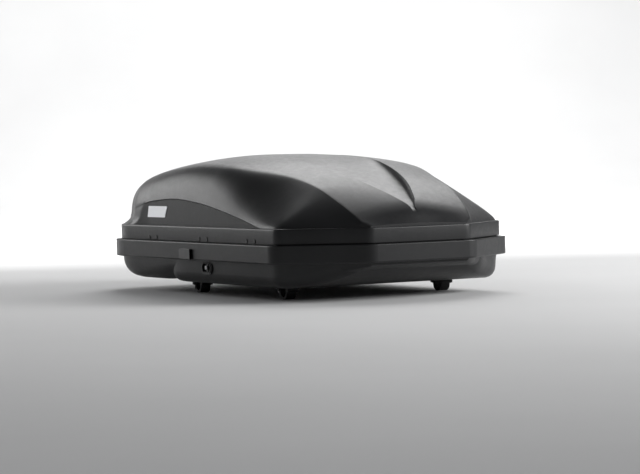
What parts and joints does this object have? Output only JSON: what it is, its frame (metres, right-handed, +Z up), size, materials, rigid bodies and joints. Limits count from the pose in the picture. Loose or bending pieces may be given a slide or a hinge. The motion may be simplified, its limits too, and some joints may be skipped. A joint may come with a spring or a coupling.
{
  "type": "roof cargo box",
  "caption": "Hard-shell roof cargo box for a car: a crowned lid with a sunken scoop, a tray that sits on two crossbars, a side lock, lid lifters and sliding bar clamps.",
  "frame": {"origin": "under the middle of the box, level with the undersides of the clamp claws", "axes": "+Y along the box towards its tail, with the nose at -Y; +X across it towards the hinge side; +Z up"},
  "size_m": [0.856, 1.4, 0.4389],
  "materials": {
    "shell_plastic": "textured charcoal-black vacuum-formed plastic",
    "rim_plastic": "satin charcoal plastic",
    "black_plastic": "moulded black nylon",
    "seal_rubber": "matt black",
    "rail_steel": "zinc plated",
    "lock_metal": "bright plated",
    "rivet_steel": "black lacquered",
    "badge_metal": "satin silver",
    "spring_steel": "oiled spring steel",
    "strap_web": "woven black webbing",
    "claw_plastic": "rubber-coated black"
  },
  "bodies": {
    "base": {"base_shell": "shell_plastic", "rim_frame": "rim_plastic", "rim_seal": "seal_rubber", "floor_rail_left": "rail_steel", "floor_rail_right": "rail_steel", "rail_bolts": "rail_steel", "frame_screws": "rivet_steel", "latch_stiffener": "rim_plastic", "bar_guides": "black_plastic", "lock_housing": "black_plastic", "lock_bezel": "black_plastic", "lock_cover": "black_plastic", "hinge_base_leaves": "rivet_steel", "hinge_pins": "rail_steel", "lifter_base_brackets": "rail_steel", "lifter_springs": "spring_steel", "strap_front": "strap_web", "strap_rear": "strap_web", "strap_buckles": "black_plastic"},
    "lid": {"lid_shell": "shell_plastic", "lid_bows": "rim_plastic", "keepers": "rail_steel", "lid_rivets": "rivet_steel", "hinge_lid_leaves": "rivet_steel", "lifter_lid_brackets": "rail_steel", "badge_plate": "badge_metal"},
    "lock_knob": {"lock_knob": "black_plastic", "lock_crank": "rail_steel"},
    "lock_cylinder": {"lock_cylinder": "lock_metal"},
    "lock_bar": {"lock_bar": "rail_steel", "lock_hooks": "rail_steel"},
    "lifter_lower_arm_front": {"lifter_lower_arm_front": "rail_steel"},
    "lifter_upper_arm_front": {"lifter_upper_arm_front": "rail_steel"},
    "lifter_lower_arm_rear": {"lifter_lower_arm_rear": "rail_steel"},
    "lifter_upper_arm_rear": {"lifter_upper_arm_rear": "rail_steel"},
    "clamp_front_left_carriage": {"clamp_carriage_front_left": "black_plastic", "clamp_saddle_front_left": "black_plastic"},
    "clamp_front_left_knob": {"clamp_knob_front_left": "black_plastic", "clamp_spindle_front_left": "rail_steel"},
    "clamp_front_left_claw_front": {"clamp_claw_front_left_front": "claw_plastic"},
    "clamp_front_left_claw_rear": {"clamp_claw_front_left_rear": "claw_plastic"},
    "clamp_front_right_carriage": {"clamp_carriage_front_right": "black_plastic", "clamp_saddle_front_right": "black_plastic"},
    "clamp_front_right_knob": {"clamp_knob_front_right": "black_plastic", "clamp_spindle_front_right": "rail_steel"},
    "clamp_front_right_claw_front": {"clamp_claw_front_right_front": "claw_plastic"},
    "clamp_front_right_claw_rear": {"clamp_claw_front_right_rear": "claw_plastic"},
    "clamp_rear_left_carriage": {"clamp_carriage_rear_left": "black_plastic", "clamp_saddle_rear_left": "black_plastic"},
    "clamp_rear_left_knob": {"clamp_knob_rear_left": "black_plastic", "clamp_spindle_rear_left": "rail_steel"},
    "clamp_rear_left_claw_front": {"clamp_claw_rear_left_front": "claw_plastic"},
    "clamp_rear_left_claw_rear": {"clamp_claw_rear_left_rear": "claw_plastic"},
    "clamp_rear_right_carriage": {"clamp_carriage_rear_right": "black_plastic", "clamp_saddle_rear_right": "black_plastic"},
    "clamp_rear_right_knob": {"clamp_knob_rear_right": "black_plastic", "clamp_spindle_rear_right": "rail_steel"},
    "clamp_rear_right_claw_front": {"clamp_claw_rear_right_front": "claw_plastic"},
    "clamp_rear_right_claw_rear": {"clamp_claw_rear_right_rear": "claw_plastic"}
  },
  "joints": [
    {"name": "lid_hinge", "type": "hinge", "parent": "base", "child": "lid", "pos_m": [0.409, 0, 0.176], "axis": [0, 1, 0], "range_deg": [0, 60]},
    {"name": "lock_turn", "type": "hinge", "parent": "base", "child": "lock_knob", "pos_m": [-0.3976, -0.069, 0.092], "axis": [-1, 0, 0], "range_deg": [0, 90]},
    {"name": "key_turn", "type": "hinge", "parent": "lock_knob", "child": "lock_cylinder", "pos_m": [-0.3976, -0.069, 0.092], "axis": [-1, 0, 0], "range_deg": [0, 90]},
    {"name": "bar_slide", "type": "slide", "parent": "base", "child": "lock_bar", "axis": [0, 1, 0], "range_m": [0, 0.0141]},
    {"name": "lifter_front_base_pivot", "type": "hinge", "parent": "base", "child": "lifter_lower_arm_front", "pos_m": [0.215, -0.6, 0.122], "axis": [0, 1, 0], "range_deg": [0, 60]},
    {"name": "lifter_front_elbow", "type": "hinge", "parent": "lifter_lower_arm_front", "child": "lifter_upper_arm_front", "pos_m": [0.068, -0.6, 0.152], "axis": [0, 1, 0], "range_deg": [-60, 0]},
    {"name": "lifter_rear_base_pivot", "type": "hinge", "parent": "base", "child": "lifter_lower_arm_rear", "pos_m": [0.215, 0.64, 0.122], "axis": [0, 1, 0], "range_deg": [0, 60]},
    {"name": "lifter_rear_elbow", "type": "hinge", "parent": "lifter_lower_arm_rear", "child": "lifter_upper_arm_rear", "pos_m": [0.068, 0.64, 0.152], "axis": [0, 1, 0], "range_deg": [-60, 0]},
    {"name": "clamp_front_left_slide", "type": "slide", "parent": "base", "child": "clamp_front_left_carriage", "axis": [0, 1, 0], "range_m": [-0.05, 0.05]},
    {"name": "clamp_front_left_knob_turn", "type": "hinge", "parent": "clamp_front_left_carriage", "child": "clamp_front_left_knob", "pos_m": [-0.278, -0.365, 0.062], "axis": [0, 0, 1], "range_deg": [0, 360]},
    {"name": "clamp_front_left_claw_front_swing", "type": "hinge", "parent": "clamp_front_left_carriage", "child": "clamp_front_left_claw_front", "pos_m": [-0.278, -0.391, 0.0305], "axis": [-1, 0, 0], "range_deg": [0, 40]},
    {"name": "clamp_front_left_claw_rear_swing", "type": "hinge", "parent": "clamp_front_left_carriage", "child": "clamp_front_left_claw_rear", "pos_m": [-0.278, -0.339, 0.0305], "axis": [1, 0, 0], "range_deg": [0, 40]},
    {"name": "clamp_front_right_slide", "type": "slide", "parent": "base", "child": "clamp_front_right_carriage", "axis": [0, 1, 0], "range_m": [-0.05, 0.05]},
    {"name": "clamp_front_right_knob_turn", "type": "hinge", "parent": "clamp_front_right_carriage", "child": "clamp_front_right_knob", "pos_m": [0.278, -0.365, 0.062], "axis": [0, 0, 1], "range_deg": [0, 360]},
    {"name": "clamp_front_right_claw_front_swing", "type": "hinge", "parent": "clamp_front_right_carriage", "child": "clamp_front_right_claw_front", "pos_m": [0.278, -0.391, 0.0305], "axis": [-1, 0, 0], "range_deg": [0, 40]},
    {"name": "clamp_front_right_claw_rear_swing", "type": "hinge", "parent": "clamp_front_right_carriage", "child": "clamp_front_right_claw_rear", "pos_m": [0.278, -0.339, 0.0305], "axis": [1, 0, 0], "range_deg": [0, 40]},
    {"name": "clamp_rear_left_slide", "type": "slide", "parent": "base", "child": "clamp_rear_left_carriage", "axis": [0, 1, 0], "range_m": [-0.09, 0]},
    {"name": "clamp_rear_left_knob_turn", "type": "hinge", "parent": "clamp_rear_left_carriage", "child": "clamp_rear_left_knob", "pos_m": [-0.278, 0.186, 0.062], "axis": [0, 0, 1], "range_deg": [0, 360]},
    {"name": "clamp_rear_left_claw_front_swing", "type": "hinge", "parent": "clamp_rear_left_carriage", "child": "clamp_rear_left_claw_front", "pos_m": [-0.278, 0.16, 0.0305], "axis": [-1, 0, 0], "range_deg": [0, 40]},
    {"name": "clamp_rear_left_claw_rear_swing", "type": "hinge", "parent": "clamp_rear_left_carriage", "child": "clamp_rear_left_claw_rear", "pos_m": [-0.278, 0.212, 0.0305], "axis": [1, 0, 0], "range_deg": [0, 40]},
    {"name": "clamp_rear_right_slide", "type": "slide", "parent": "base", "child": "clamp_rear_right_carriage", "axis": [0, 1, 0], "range_m": [-0.09, 0]},
    {"name": "clamp_rear_right_knob_turn", "type": "hinge", "parent": "clamp_rear_right_carriage", "child": "clamp_rear_right_knob", "pos_m": [0.278, 0.186, 0.062], "axis": [0, 0, 1], "range_deg": [0, 360]},
    {"name": "clamp_rear_right_claw_front_swing", "type": "hinge", "parent": "clamp_rear_right_carriage", "child": "clamp_rear_right_claw_front", "pos_m": [0.278, 0.16, 0.0305], "axis": [-1, 0, 0], "range_deg": [0, 40]},
    {"name": "clamp_rear_right_claw_rear_swing", "type": "hinge", "parent": "clamp_rear_right_carriage", "child": "clamp_rear_right_claw_rear", "pos_m": [0.278, 0.212, 0.0305], "axis": [1, 0, 0], "range_deg": [0, 40]}
  ],
  "couplings": [
    {"joint": "lock_turn", "follows": "bar_slide", "rad_per_m": 111.07},
    {"joint": "lifter_front_base_pivot", "follows": "lid_hinge", "ratio": 1},
    {"joint": "lifter_front_elbow", "follows": "lid_hinge", "ratio": -1},
    {"joint": "lifter_rear_base_pivot", "follows": "lid_hinge", "ratio": 1},
    {"joint": "lifter_rear_elbow", "follows": "lid_hinge", "ratio": -1},
    {"joint": "clamp_front_left_claw_front_swing", "follows": "clamp_front_left_knob_turn", "ratio": 0.11111},
    {"joint": "clamp_front_left_claw_rear_swing", "follows": "clamp_front_left_knob_turn", "ratio": 0.11111},
    {"joint": "clamp_front_right_claw_front_swing", "follows": "clamp_front_right_knob_turn", "ratio": 0.11111},
    {"joint": "clamp_front_right_claw_rear_swing", "follows": "clamp_front_right_knob_turn", "ratio": 0.11111},
    {"joint": "clamp_rear_left_claw_front_swing", "follows": "clamp_rear_left_knob_turn", "ratio": 0.11111},
    {"joint": "clamp_rear_left_claw_rear_swing", "follows": "clamp_rear_left_knob_turn", "ratio": 0.11111},
    {"joint": "clamp_rear_right_claw_front_swing", "follows": "clamp_rear_right_knob_turn", "ratio": 0.11111},
    {"joint": "clamp_rear_right_claw_rear_swing", "follows": "clamp_rear_right_knob_turn", "ratio": 0.11111}
  ]
}
